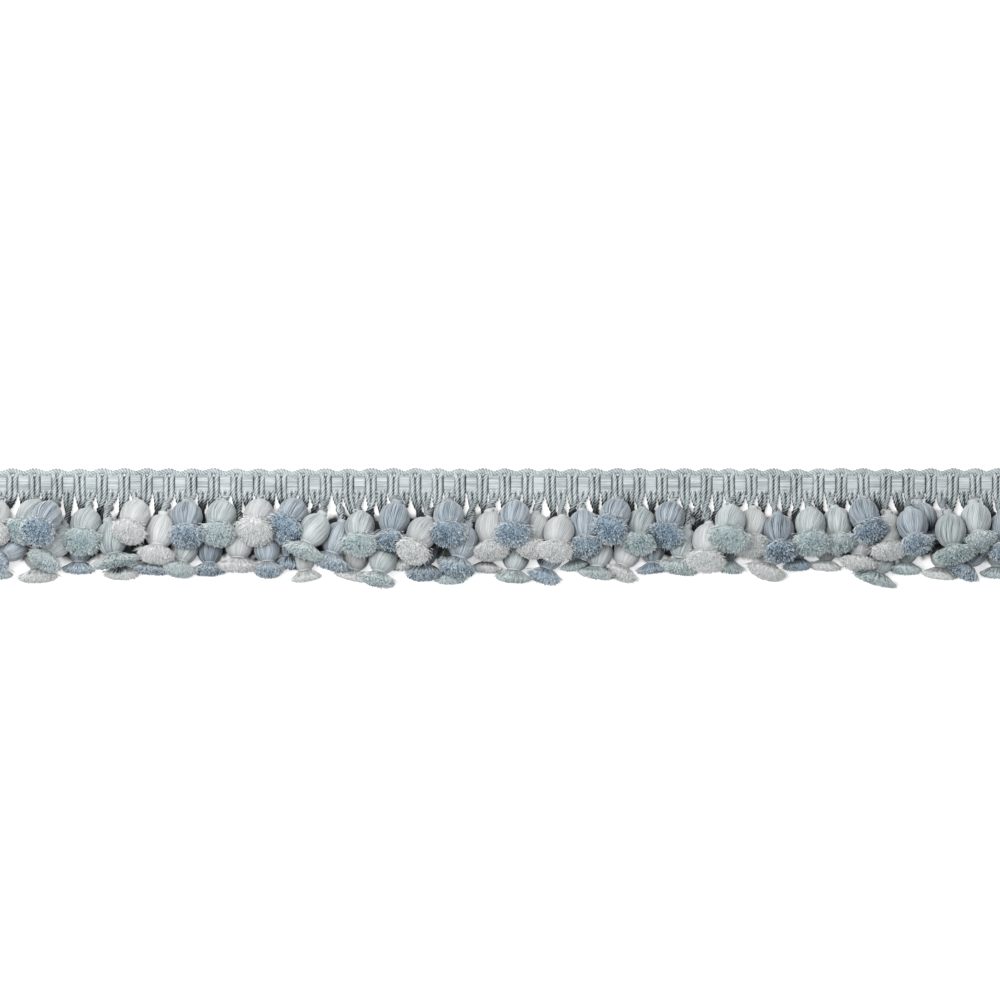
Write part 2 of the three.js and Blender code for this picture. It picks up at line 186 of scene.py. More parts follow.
# %% [markdown]
# ## One way to skin everything
#
# Cord, yarn and band are all the same kind of surface: a closed ring of points carried along a
# line. So one function turns lines into rings, and one skins rings with faces and closes the
# ends. Each point also carries what its material needs: a shade from dark to light, a tip that is
# one at a frayed end, how much of the dye's colour shows, and its place along its own fibre, so
# that streaks follow the yarn.


# %% Rings along lines
UPRIGHT = 0.9


def xyz(x, y, z):
    """Points from three coordinates that are first broadcast to one shape."""
    return np.stack(np.broadcast_arrays(x, y, z), axis=-1)


def carried_sides(lines):
    """Two unit vectors square to lines[line, step, xyz] at each step. The first is the one from the
    step before, less its part along the line, so the pair never spins on its own."""
    tangent = np.gradient(lines, axis=1)
    tangent /= np.linalg.norm(tangent, axis=2, keepdims=True)
    upright = np.abs(tangent[:, :1, 2:]) > UPRIGHT
    away = np.where(upright, (1.0, 0.0, 0.0), (0.0, 0.0, 1.0))[:, 0]
    first = np.empty_like(lines)
    for step in range(lines.shape[1]):
        ahead = tangent[:, step]
        away = away - (away * ahead).sum(axis=1, keepdims=True) * ahead
        away = away / np.linalg.norm(away, axis=1, keepdims=True)
        first[:, step] = away
    return first, np.cross(tangent, first)


def carried_rings(lines, radius, angle):
    """Rings[line, step, spoke, xyz]: the line's point plus radius times (cos(angle) first +
    sin(angle) second), with the two sides that are carried along the line."""
    first, second = carried_sides(lines)
    turned = np.cos(angle)[..., None] * first[:, :, None]
    turned = turned + np.sin(angle)[..., None] * second[:, :, None]
    return lines[:, :, None] + np.asarray(radius)[..., None] * turned


def skin(rings, shade, tip, fibre, ends=None):
    """Closed skins over rings[tube, ring, spoke, xyz]: quads from ring to ring, and a fan of
    triangles at either end, about the middle of the ring there or about ends[tube, 2, xyz]. Shade,
    tip and fibre are broadcast to the rings."""
    tubes, count, spokes = rings.shape[:3]
    if ends is None:
        ends = rings[:, [0, -1]].mean(axis=2)
    ring, spoke = np.meshgrid(np.arange(count - 1), np.arange(spokes), indexing="ij")
    after = (spoke + 1) % spokes
    near, far = ring * spokes, (ring + 1) * spokes
    quads = np.stack([near + spoke, near + after, far + after, far + spoke], axis=-1).reshape(-1, 4)
    around = np.arange(spokes)
    following = (around + 1) % spokes
    last = (count - 1) * spokes
    start = np.stack([np.full(spokes, count * spokes), following, around], axis=-1)
    finish = np.stack([np.full(spokes, count * spokes + 1), last + around, last + following], axis=-1)
    fans = np.concatenate([start, finish])
    offset = (np.arange(tubes) * (count * spokes + 2))[:, None, None]

    def per_point(values, width):
        values = np.broadcast_to(values, (*rings.shape[:3], width))
        closing = values[:, [0, -1]].mean(axis=2)
        return np.concatenate([values.reshape(tubes, -1, width), closing], axis=1).reshape(-1, width)

    points = np.concatenate([rings.reshape(tubes, -1, 3), ends], axis=1).reshape(-1, 3)
    return {
        "points": points,
        "quads": (quads + offset).reshape(-1, 4),
        "fans": (fans + offset).reshape(-1, 3),
        "shade": per_point(np.asarray(shade)[..., None], 1)[:, 0],
        "tip": per_point(np.asarray(tip)[..., None], 1)[:, 0],
        "fibre": per_point(fibre, 3),
        "chroma": np.ones(len(points)),
    }


# %% Join skins and put them in the scene
def join(skins):
    """One skin of several: points one after another, and faces counted on from the points before."""
    counts = np.cumsum([0] + [len(one["points"]) for one in skins[:-1]])
    carried = ("points", "shade", "tip", "fibre", "chroma")
    joined = {key: np.concatenate([one[key] for one in skins]) for key in carried}
    for key in ("quads", "fans"):
        joined[key] = np.concatenate([one[key] + count for one, count in zip(skins, counts)])
    return joined


REST = 0.05


def place_piece(name, one, material, nodes):
    """Make the skin a mesh object in metres that rides on the part and stands for its CAD nodes.
    Soft yarn flattens where it lies on the table, so no point stays lower than the table's top."""
    mesh = bpy.data.meshes.new(name)
    quads, fans = one["quads"], one["fans"]
    loops = np.concatenate([quads.ravel(), fans.ravel()])
    totals = np.concatenate([np.full(len(quads), 4), np.full(len(fans), 3)])
    mesh.vertices.add(len(one["points"]))
    points = np.maximum(one["points"], (-np.inf, -np.inf, REST))
    mesh.vertices.foreach_set("co", (points * MM).ravel())
    mesh.loops.add(len(loops))
    mesh.loops.foreach_set("vertex_index", loops.astype(np.int32))
    mesh.polygons.add(len(totals))
    mesh.polygons.foreach_set("loop_start", (np.cumsum(totals) - totals).astype(np.int32))
    mesh.polygons.foreach_set("use_smooth", np.ones(len(totals), bool))
    for key in ("shade", "tip", "chroma"):
        mesh.attributes.new(key, "FLOAT", "POINT").data.foreach_set("value", one[key])
    fibre = mesh.attributes.new("fibre", "FLOAT_VECTOR", "POINT")
    fibre.data.foreach_set("vector", one["fibre"].ravel())
    mesh.materials.append(material)
    mesh.update()
    mesh.validate()
    piece = bpy.data.objects.new(name, mesh)
    scene.collection.objects.link(piece)
    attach(piece, "root")
    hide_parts(*nodes)
    return piece


def triangles(one):
    """How many triangles a skin comes to."""
    return 2 * len(one["quads"]) + len(one["fans"])


# %% [markdown]
# ## Spun viscose
#
# The yarns are viscose, spun and plied: a silky fibre with a soft gloss along the thread and a
# pale bloom where the light grazes it. The eye reads it by its streaks: each filament bundle is a
# little lighter or darker than its neighbour, the grooves between are dark, and cut ends are pale.
# So the colour is a ramp from the groove's painted shade to a painted highlight, driven by each
# point's shade and by a noise stretched along the fibre. Three dyes and the heading's own grey share
# the recipe.

# %% Yarn
# A bundle of filaments is about 0.4 mm wide, which is less than a pixel, so it is drawn coarser.
FILAMENT = 0.7
SLUB = 14.0
SLUB_SHARE = 0.25
FUZZ = 0.2
# Where the ramp's groove, body and light colours stand. The groove colour, and the deep colour below
# it, are painted shade, and the light colour is a painted highlight.
GROOVE_AT, BODY_AT, LIGHT_AT = 0.2, 0.54, 0.95


def spun_viscose(name, deep, groove, body, light, end, streak):
    """A dyed viscose yarn: tone = shade + streak (noise - 0.5) along the fibre + slub share
    (noise - 0.5) from place to place, through a ramp. A frayed tip fades to a cut end's colour."""
    material, tree, output = new_material(name)
    shade = add(tree, "ShaderNodeAttribute", attribute_name="shade")
    fibre = add(tree, "ShaderNodeAttribute", attribute_name="fibre")
    tip = add(tree, "ShaderNodeAttribute", attribute_name="tip")
    chroma = add(tree, "ShaderNodeAttribute", attribute_name="chroma")
    place = add(tree, "ShaderNodeTexCoord")
    filament = add(tree, "ShaderNodeTexNoise", {
        "Vector": (fibre, "Vector"), "Scale": 1 / FILAMENT, "Detail": 3.0, "Roughness": 0.6})
    slub = add(tree, "ShaderNodeTexNoise", {
        "Vector": (place, "Object"), "Scale": 1 / (SLUB * MM), "Detail": 2.0})
    centred = add(tree, "ShaderNodeMath", {0: (filament, "Fac"), 1: 0.5}, operation="SUBTRACT")
    streaked = add(tree, "ShaderNodeMath", {0: (centred, "Value"), 1: streak, 2: (shade, "Fac")},
                   operation="MULTIPLY_ADD")
    cloudy = add(tree, "ShaderNodeMath", {0: (slub, "Fac"), 1: 0.5}, operation="SUBTRACT")
    tone = add(tree, "ShaderNodeMath", {0: (cloudy, "Value"), 1: SLUB_SHARE, 2: (streaked, "Value")},
               operation="MULTIPLY_ADD")
    ramp = add(tree, "ShaderNodeValToRGB", {"Fac": (tone, "Value")}, stops=[
        (0.0, linear(deep)), (LIGHT_AT, linear(light)),
        (GROOVE_AT, linear(groove)), (BODY_AT, linear(body))])
    dyed = add(tree, "ShaderNodeHueSaturation", {
        "Color": (ramp, "Color"), "Saturation": (chroma, "Fac")})
    colour = add(tree, "ShaderNodeMix", {0: (tip, "Fac"), 6: (dyed, "Color"), 7: linear(end)},
                 data_type="RGBA")
    rough = add(tree, "ShaderNodeMapRange", {0: (filament, "Fac"), 3: 0.42, 4: 0.66})
    relief = add(tree, "ShaderNodeBump", {
        "Height": (filament, "Fac"), "Strength": 0.45, "Distance": FUZZ * MM})
    shader = add(tree, "ShaderNodeBsdfPrincipled", {
        "Base Color": (colour, 2),
        "Roughness": (rough, "Result"),
        "Normal": (relief, "Normal"),
        "IOR": 1.5,
        "Specular IOR Level": 0.35,
        "Sheen Weight": 0.25,
        "Sheen Roughness": 0.45,
    })
    tree.links.new(shader.outputs["BSDF"], output.inputs["Surface"])
    return material


# The heading's grey is a hard, smooth cord. Blue and sage are softer and streaky, with deep grooves,
# and silver is pale and even, so its grooves stay light.
# Each yarn's colours are deep, groove, body, light and cut end: deep and groove are painted shade,
# light is a painted highlight.
YARN = {
    "heading": spun_viscose(
        "grey_viscose_cord", "#1c2224", "#6c777a", "#b4bcbe", "#d6dcdd", "#d9dddd", 0.55),
    "blue": spun_viscose(
        "slate_blue_viscose", "#10161c", "#4b6a80", "#97a8b5", "#c6ced4", "#d3d9dc", 0.7),
    "sage": spun_viscose(
        "sage_grey_viscose", "#1a2528", "#577a7f", "#a5b4b7", "#ccd3d5", "#dae0de", 0.7),
    "silver": spun_viscose(
        "pale_silver_viscose", "#363b3c", "#8a9496", "#b8bcbc", "#d6d8d8", "#e6e6e5", 0.55),
}
print("yarns:", ", ".join(material.name for material in YARN.values()))

# %% [markdown]
# ## Where the tassels lie
#
# Every tassel that shows is a CAD node, a solid of revolution about a tilted axis. Its points
# spread furthest along that axis, so the first singular vector of the cloud is the axis. The
# widest ring is the skirt's rim, which tells the skirt's end from the crown. The length gives the
# size. The tassels underneath are one solid with the loops, so their places are repeated here.

# %% Read the tassels from the frame
CROWN = 7.9
TASSEL_LENGTH = 23.6

slot_of = {subpart["node"]: subpart["material_slot"] for subpart in frame["record"]["subparts"]}


def read_tassel(name):
    """Head middle, axis towards the skirt, and size of a tassel's CAD node, in millimetres."""
    mesh = frame["nodes"][name].data
    points = np.empty(len(mesh.vertices) * 3)
    mesh.vertices.foreach_get("co", points)
    points = np.unique(np.round(points.reshape(-1, 3) / MM, 3), axis=0)
    middle = points.mean(axis=0)
    axis = np.linalg.svd(points - middle)[2][0]
    along = (points - middle) @ axis
    out = np.linalg.norm(points - middle - np.outer(along, axis), axis=1)
    if along[np.argmax(out)] < 0:
        axis, along = -axis, -along
    size = np.ptp(along) / TASSEL_LENGTH
    dye = slot_of[name].removesuffix("_yarn")
    head = middle + axis * (along.min() + CROWN * size)
    return {"node": name, "middle": head, "axis": axis, "size": size, "dye": dye}


tassel_nodes = sorted(name for name in frame["nodes"] if name.startswith("tassel_"))
shown = [read_tassel(name) for name in tassel_nodes]
sizes = [tassel["size"] for tassel in shown]
print(f"{len(shown)} tassels read, sizes {min(sizes):.2f} to {max(sizes):.2f}")

# %% Repeat the tassels underneath
# Middle of the head along and across the trim, lean of the axis to the right in degrees, size, dye.
LYING_RISE = np.radians(5.0)
LYING_MIDDLE = 7.1
BENEATH = [
    (-250, -35, 2, 0.88, "sage"), (-207, -33, 0, 0.88, "blue"), (-187, -35.5, 6, 0.86, "silver"),
    (-102, -31, -6, 0.78, "blue"), (-95.5, -37.5, 10, 0.86, "silver"),
    (-68.5, -37, -13, 0.88, "silver"), (-46, -32, 4, 0.78, "silver"), (-22, -37, 2, 0.88, "sage"),
    (-2.5, -34, -8, 0.76, "silver"), (28, -36.5, -16, 0.88, "blue"), (40, -33, 6, 0.78, "sage"),
    (79, -34, 2, 0.8, "blue"), (117, -32, -6, 0.86, "sage"), (151, -32, 4, 0.8, "blue"),
    (166, -33, -6, 0.78, "silver"), (206, -34, -4, 0.78, "sage"), (224, -36.5, -8, 0.8, "silver"),
    (252, -35.5, -4, 0.88, "sage"),
]


def lying_tassel(x, y, lean, size, dye):
    """A tassel flat on the table, its axis turned by lean from straight down and tipped up a little."""
    flat = np.cos(LYING_RISE)
    turn = np.radians(lean)
    axis = np.array([np.sin(turn) * flat, -np.cos(turn) * flat, np.sin(LYING_RISE)])
    return {"middle": np.array([x, y, LYING_MIDDLE * size]), "axis": axis, "size": size, "dye": dye}


beneath = [lying_tassel(*row) for row in BENEATH]
print(f"{len(beneath)} tassels underneath")

# %% [markdown]
# ## Painted shade in the hollows
#
# Between the heads the pile is deep, and the yarn down there is nearly black to the eye. A render
# with a white floor fills such hollows with light, so shade is painted into the yarn there. A ball at
# radius R and distance d hides a share (R / d)^2 of the sky, times how steeply one looks up at it,
# and one that stands low on the horizon hides nothing that matters. Every tassel counts as two
# balls, its head and its skirt, and the shares are added up. Up to a fifth of the sky nothing
# changes, and at three fifths the painted shade is as deep as it gets. Where two tassels all but
# touch there is also a painted shadow, a dark seam two millimetres wide.

# %% Share of the sky that is hidden
HEAD_BALL = (0.0, 7.2)
SKIRT_BALL = (11.5, 6.8)
STEEP = 0.3
OPEN, CLOSED = 0.2, 0.6
# How dark the painted shade gets on cords and on tassels, and in a painted seam shadow.
CORD_HOLLOW_SHADE = 0.85
TASSEL_HOLLOW_SHADE = 0.62
SEAM_WIDTH = 2.0
SEAM_PAINTED_SHADE = 0.54

pile = shown + beneath
BALLS = np.array([
    [*(tassel["middle"] + along * tassel["size"] * tassel["axis"]), radius * tassel["size"]]
    for tassel in pile for along, radius in (HEAD_BALL, SKIRT_BALL)])
OWNER = np.repeat(np.arange(len(pile)), 2)


def smooth(low, high, value):
    """0 below low, 1 above high, and an S-shaped rise 3t^2 - 2t^3 between."""
    share = np.clip((value - low) / (high - low), 0, 1)
    return share * share * (3 - 2 * share)


def hollowed(one, depth, own):
    """The skin with painted shade: a darker shade and fewer pale ends where the pile hides the sky or
    another tassel is close by. The two balls of a point's own tassel are left out: the light shades
    those."""
    way = BALLS[None, :, :3] - one["points"][:, None]
    distance = np.linalg.norm(way, axis=2)
    share = np.minimum(BALLS[:, 3] / distance, 1) ** 2
    steep = np.clip((way[..., 2] / distance - STEEP) / (1 - STEEP), 0, 1)
    other = OWNER != np.broadcast_to(own, len(distance))[:, None]
    hidden = smooth(OPEN, CLOSED, (share * steep * other).sum(axis=1))
    gap = np.where(other, distance - BALLS[:, 3], np.inf).min(axis=1)
    seam = smooth(SEAM_WIDTH, 0, gap)
    # Painted shade: darker where the sky is hidden and along seams, with fewer pale ends there.
    one["shade"] = one["shade"] - depth * (hidden + SEAM_PAINTED_SHADE / TASSEL_HOLLOW_SHADE * seam)
    one["tip"] = one["tip"] * (1 - hidden) * (1 - seam)
    return one


print(f"{len(BALLS)} balls stand for the pile")

# %% [markdown]
# ## The heading's ground
#
# The heading is a narrow band of fine warp threads that run along the trim. In a woven panel they
# lie in the open, side by side like a pile of straws. Beside each pair of cords they dive behind
# it. A band could be a flat strip with a bump, but its panels really stand up between the cords,
# so it is one closed section of thread humps, carried along the trim and sunk at every pair.

# %% Woven ground
REPEAT = 11.19
REPEATS = 46
TRIM_LENGTH = REPEAT * REPEATS
CORD = 2.8
GROUND_LOW = -5.6
GROUND_HIGH = 5.4
EYE_LOW = 1.7
THREADS = 13
PANEL_TOP = 2.5
SUNK_TOP = 0.8
THREAD_RELIEF = 0.32
RELIEF_UNEVEN = 0.5
SUNK_RELIEF = 0.3
ROLLED_EDGE = 0.06
EDGE_LOFT = 0.35
PANEL_SIDE = (0.97 * CORD, 1.07 * CORD)
EYE_SIDE = (0.35 * CORD, 0.75 * CORD)
COLUMNS = np.array([
    -5.0, -4.1, -3.3, -2.95, -2.6, -2.2, -1.0, 0.0, 1.0, 2.2, 2.6, 2.95, 3.3, 4.1, 5.0])
# Shades, as shares of the yarn's ramp: a groove between threads, how much lighter a crest is, how far
# threads differ, how much of that belongs to one panel alone, and what is left behind the cords. The
# groove painted darker than a crest, and the ground painted dark behind the cords, are painted shade.
GROUND_TONE = 0.33
THREAD_CREST = 0.2
THREAD_SPREAD = 0.38
THREAD_STRAY = 0.6
DIVE_PAINTED_SHADE = 0.1
BACK_TONE = 0.4
GROUND_FIBRE = (0.12, 1.6, 0.5)
random = np.random.default_rng(46)


def woven_ground():
    """Height above the table = sunk + (panel - sunk) S(distance from the pair's middle) + a hump for
    each thread. A thread is three points across: a groove and two shoulders. Columns stand closest
    at a panel's sides, where the threads dive behind the cords and lie in their shadow, which is
    painted into their shade there. Over a pair the ground ends lower, which leaves a small eye open
    under the edge cord."""
    pairs = (np.arange(REPEATS) + 0.5) * REPEAT - TRIM_LENGTH / 2
    x = np.concatenate([[-TRIM_LENGTH / 2], (pairs[:, None] + COLUMNS).ravel(), [TRIM_LENGTH / 2]])
    from_pair = np.abs(((x + TRIM_LENGTH / 2) / REPEAT) % 1 - 0.5) * REPEAT
    panel = smooth(*PANEL_SIDE, from_pair)
    share = np.linspace(1, 0, 3 * THREADS + 1)
    crest = np.where(np.arange(3 * THREADS + 1) % 3, 1.0, 0.0)
    high = EYE_LOW + (GROUND_HIGH - EYE_LOW) * smooth(*EYE_SIDE, from_pair)
    y = GROUND_LOW + share * (high - GROUND_LOW)[:, None]
    edge = smooth(0, ROLLED_EDGE, share) * smooth(0, ROLLED_EDGE, 1 - share)
    edge_loft = EDGE_LOFT + (1 - EDGE_LOFT) * edge
    loft = SUNK_TOP + (PANEL_TOP - SUNK_TOP) * panel[:, None] * edge_loft
    uneven = 1 + RELIEF_UNEVEN * (random.random(3 * THREADS + 1) - 0.5)
    relief = SUNK_RELIEF + (1 - SUNK_RELIEF) * panel[:, None]
    z = loft + THREAD_RELIEF * crest * uneven * relief
    top = xyz(x[:, None], y, z)
    back = top[:, ::-THREADS].copy()
    back[..., 2] = REST
    rings = np.concatenate([back, top], axis=1)[None]
    panel_of = np.round((x + TRIM_LENGTH / 2) / REPEAT).astype(int)
    own = np.random.default_rng(REPEATS).random((REPEATS + 1, THREADS + 1))[panel_of]
    thread = (1 - THREAD_STRAY) * random.random(THREADS + 1) + THREAD_STRAY * own
    thread = np.repeat(thread, 3, axis=1)[:, :3 * THREADS + 1]
    tone = GROUND_TONE + THREAD_CREST * crest + THREAD_SPREAD * (thread - 0.5)
    # Painted shade: the ground is painted dark where it dives behind the cords.
    shade = tone * (DIVE_PAINTED_SHADE + (1 - DIVE_PAINTED_SHADE) * panel[:, None])
    shade = np.concatenate([np.full(back.shape[:2], BACK_TONE), shade], axis=1)
    return skin(rings, shade, 0.0, rings * GROUND_FIBRE)


ground_skin = woven_ground()
ground = place_piece("woven_ground", ground_skin, YARN["heading"], ["heading"])
print(f"woven ground of {THREADS} threads, {triangles(ground_skin)} triangles")

# %% [markdown]
# ## Twisted cord
#
# A cord is a few plies laid up together, so its section is a flower of as many petals that turns
# as it goes, and the strokes lean like the bar of a Z. The edge cord has four plies and a ridge
# every 1.5 mm, and the slimmer ribs have five and a ridge every 1.9 mm. The section's points
# alternate between a groove and a crest, and they turn with the lay, so each ply is one smooth
# ridge. One scalloped cord runs along the upper edge, with an arc over each pair.

# %% Lay up a cord
GROOVE = 0.7
# A groove's tone and how much lighter a crest is: the groove painted darker than the crest is painted
# shade.
GROOVE_TONE = 0.27
RIDGE_TONE = 0.46
PLY_SPREAD = 0.16
# A flank, painted in shade, is what lies lower on a cord than this share of its radius: on the
# heading, and further down.
FLANK_SHADE = 0.45
FLANK_REACH = (0.45, 0.8)
FLANK_FALL = (5.6, 9.0)
FACING_SHADE = 0.42
FACING = (0.68, 0.98)
CLOSEST = 0.7
STREAK_ALONG = 0.25
FIBRE_APART = 40.0


def twisted_cord(lines, radius, plies, lay, paired=False):
    """Rings of a cord: r = radius on a crest and 0.7 radius in a groove, turned by 360 degrees
    for each lay of length along the line, right-handed. A groove is painted darker than a crest, as
    painted shade. Where the two ends lie side by side as a pair, the turn at the start is such that
    they mirror each other and meet ridge to ridge. There their flanks are painted in shade, and so
    are the sides with which the two face each other."""
    steps = np.linalg.norm(np.diff(lines, axis=1), axis=2)
    length = np.concatenate([np.zeros((len(lines), 1)), np.cumsum(steps, axis=1)], axis=1)
    spoke = np.arange(2 * plies)
    crest = spoke % 2
    start = random.random((len(lines), 1, 1)) * 2 * np.pi
    if paired:
        last = carried_sides(lines)[0][:, -1]
        rolled = 2 * np.pi * length[:, -1] / lay + np.arctan2(last[:, 0], last[:, 2])
        start = -(rolled + np.pi)[:, None, None] / 2
    base = 2 * np.pi * spoke / len(spoke)
    angle = start + base + 2 * np.pi * length[..., None] / lay
    thick = np.broadcast_to(radius, lines.shape[1])[:, None]
    rings = carried_rings(lines, thick * np.where(crest, 1.0, GROOVE), angle)
    ply = np.repeat(random.random((len(lines), 1, plies)), 2, axis=2)
    # Grooves painted darker than crests: painted shade.
    shade = GROOVE_TONE + RIDGE_TONE * crest + PLY_SPREAD * (ply - 0.5)
    if paired:
        out = (rings - lines[:, :, None]) / thick[..., None]
        across = lines[:, ::-1] - lines
        across = across / np.maximum(np.linalg.norm(across, axis=2, keepdims=True), CLOSEST)
        facing = (out * across[:, :, None]).sum(axis=3)
        reach = np.interp(-lines[..., 1:2], FLANK_FALL, FLANK_REACH)
        # Painted shade on the lower flanks and on the sides that face each other.
        shade = shade - FLANK_SHADE * smooth(reach, 0.0, out[..., 2])
        shade = shade - FACING_SHADE * smooth(*FACING, facing)
    offset = FIBRE_APART * random.random((len(lines), 1, 1))
    fibre = xyz(np.cos(base) * thick + offset, np.sin(base) * thick, STREAK_ALONG * length[..., None])
    return skin(rings, shade, 0.0, fibre)


# %% Scalloped edge cord
# Between its arcs the cord lies over the panels, so it is lifted a little there.
EDGE_RADIUS = 1.8
EDGE_PEAK = 5.5
EDGE_VALLEY = 4.0
EDGE_HEIGHT = 1.85
EDGE_STEPS = 18
EDGE_WANDER = 0.7
EDGE_PLIES = 4
EDGE_LAY = 6.0
EDGE_LIFT = 0.25
ARC_POWER = 1.5

x = np.linspace(-TRIM_LENGTH / 2, TRIM_LENGTH / 2, REPEATS * EDGE_STEPS + 1)
arc = np.abs(np.sin(np.pi * (x + TRIM_LENGTH / 2) / REPEAT)) ** ARC_POWER
wander = np.interp(x, x[::EDGE_STEPS], EDGE_WANDER * (random.random(REPEATS + 1) - 0.5))
edge_y = EDGE_VALLEY + (EDGE_PEAK - EDGE_VALLEY) * arc + wander
edge_line = xyz(x, edge_y, EDGE_HEIGHT + EDGE_LIFT * (1 - arc))
edge_skin = twisted_cord(edge_line[None], EDGE_RADIUS, EDGE_PLIES, EDGE_LAY)
place_piece("edge_cord", edge_skin, YARN["heading"], ["heading"])
print(f"edge cord with {REPEATS} arcs, {triangles(edge_skin)} triangles")

# %% [markdown]
# ## Loops
#
# A pair of ribs on the heading is one cord: it comes up, and both its ends run on below the lower
# edge and meet in the crown of a tassel. A second loop hangs behind each panel. So a loop's line
# is a straight rib, a curve to the crown, a turn there, and the same way back. The curve is a
# cubic Bezier line: it leaves the heading straight and arrives along the tassel's axis.

# %% Hang the tassels on the loops
ROOT_Y = -5.775
SWING = 0.4
SUNK = 0.9
EMPTY_REACH = 19.0
EMPTY_UNEVEN = 3.0
EMPTY_SWAY = 5.0
EMPTY_HEIGHT = 2.2

slots = (np.arange(2 * REPEATS - 1) + 1) * REPEAT / 2 - TRIM_LENGTH / 2


def crown_of(tassel):
    """The top of the tassel's head, where its loop goes in."""
    return tassel["middle"] - tassel["axis"] * (CROWN * tassel["size"] - SUNK)


def hang(tassels):
    """Crown, axis and owner of the loop at each slot. The tassel closest to the heading picks first,
    and each takes the free slot nearest to its crown. A slot left over keeps an empty loop, which
    ends under the pile and has no owner."""
    count = len(slots)
    sway = EMPTY_SWAY * (random.random(count) - 0.5)
    low = ROOT_Y - EMPTY_REACH - EMPTY_UNEVEN * random.random(count)
    crowns = xyz(slots + sway, low, EMPTY_HEIGHT)
    axes = np.tile([0.0, -1.0, 0.0], (count, 1))
    owners = np.full(count, -1)
    tops = np.array([crown_of(tassel) for tassel in tassels])
    for i in np.argsort(-tops[:, 1]):
        slot = np.argmin(np.where(owners < 0, np.abs(slots - tops[i, 0]), np.inf))
        crowns[slot], axes[slot], owners[slot] = tops[i], tassels[i]["axis"], i
    return crowns, axes, owners


crowns, axes, owners = hang(pile)
print(f"{len(slots)} loops for {len(pile)} tassels, {(owners < 0).sum()} of them empty")

# %% Lines of the loops
APART = 2.6
APART_IN_ROPE = 2.35
APART_AT_CROWN = 1.8
REST_HEIGHT = 2.2
ROPE_TURNS = (0.4, 1.0)
ROOT_STRAY = 0.25
TOP_STRAY = 0.45
LEG_STRAY = 1.6
ROPE_FLAT = 0.7
RIB_SPLAY = 1.0
RIB_STEPS = 18
TURN_STEPS = 5
# Shares of a leg where the rope begins and where it is fully wound, and of a rib that dips and splays.
ROPE_FROM = 0.2
WIND_BY = 0.9
DIPS = (0.7, 1.0)
SPLAYS = (0.72, 1.0)


def unit(vectors):
    """The same directions with length one."""
    return vectors / np.linalg.norm(vectors, axis=-1, keepdims=True)


def loop_lines(slots, crowns, axes, height, top, dip, leg_steps):
    """Lines[loop, step, xyz] from one end of each loop's cord to the other. Both legs keep to one
    cubic Bezier line, to either side of it. Their sides start along the trim, end square to the
    tassel's axis, and the legs wind round each other like a slack, flattened rope on the way. No two
    hang alike: a root, a rib's top and the way a leg leaves the heading each stray a little. A rib's
    end turns outwards and dips out of sight, under the edge cord or into the woven panel."""
    stray = random.uniform(-1, 1, (3, len(slots)))
    root = xyz(slots + ROOT_STRAY * stray[0], ROOT_Y, height)
    swing = SWING * np.linalg.norm(crowns - root, axis=1, keepdims=True)
    leaving = root - swing * (0, 1, 0)
    leaving[:, 0] += LEG_STRAY * stray[1]
    arriving = crowns - swing * axes
    arriving[:, 2] = np.maximum(arriving[:, 2], REST_HEIGHT)
    t = np.linspace(0, 1, leg_steps)[None, :, None]
    a, b, c, d = (point[:, None] for point in (root, leaving, arriving, crowns))
    middle = (1 - t) ** 3 * a + 3 * (1 - t) ** 2 * t * b + 3 * (1 - t) * t**2 * c + t**3 * d
    ahead = unit(3 * (1 - t) ** 2 * (b - a) + 6 * (1 - t) * t * (c - b) + 3 * t**2 * (d - c))
    square = unit(xyz(-axes[:, 1], axes[:, 0], 0.0))[:, None]
    side = (1 - t) * np.array([1.0, 0.0, 0.0]) + t * square
    side = unit(side - (side * ahead).sum(axis=2, keepdims=True) * ahead)
    turns = random.uniform(*ROPE_TURNS, len(slots))[:, None, None]
    wind = 2 * np.pi * turns * smooth(0.0, WIND_BY, t)
    side = np.cos(wind) * side + ROPE_FLAT * np.sin(wind) * np.cross(ahead, side)
    half = np.interp(t, [0, ROPE_FROM, 1], [APART, APART_IN_ROPE, APART_AT_CROWN]) / 2
    up = np.linspace(1, 0, RIB_STEPS, endpoint=False)[None, :, None]
    rib = a + up * (0, top - ROOT_Y, 0) - dip * smooth(*DIPS, up) * (0, 0, 1)
    rib = rib + TOP_STRAY * stray[2][:, None, None] * up**2 * (1, 0, 0)
    splay = (APART / 2 + RIB_SPLAY * smooth(*SPLAYS, up)) * np.array([1.0, 0.0, 0.0])
    legs = [np.concatenate([rib + sign * splay, middle + sign * half * side], axis=1)
            for sign in (-1, 1)]
    angle = np.linspace(0, np.pi, TURN_STEPS + 2)[None, 1:-1, None]
    around = -np.cos(angle) * side[:, -1:] + np.sin(angle) * axes[:, None]
    turn = crowns[:, None] + APART_AT_CROWN / 2 * around
    return np.concatenate([legs[0], turn, legs[1][:, ::-1]], axis=1)


# %% Front loops with their ribs, and back loops
CORD_CREST = 1.5
LEG_CREST = 1.44
SLIM_FROM = 0.3
CORD_PLIES = 5
CORD_LAY = 9.5
# Between these distances below the heading the loops' painted shade in the hollows fades in.
LIT_TO = (6.0, 11.0)
RIB_TOP = 4.6
FRONT_HEIGHT = 2.35
FRONT_DIP = 0.5
FRONT_STEPS = 32
BACK_TOP = -4.4
BACK_HEIGHT = 2.0
BACK_DIP = 1.3
BACK_STEPS = 30


def cord_crest(leg_steps):
    """Radius of a loop's cord from end to end: full on the ribs and pulled slimmer on the legs."""
    rib, turn = np.full(RIB_STEPS, CORD_CREST), np.full(TURN_STEPS, LEG_CREST)
    leg = np.interp(np.linspace(0, 1, leg_steps), [0, SLIM_FROM], [CORD_CREST, LEG_CREST])
    return np.concatenate([rib, leg, turn, leg[::-1], rib])


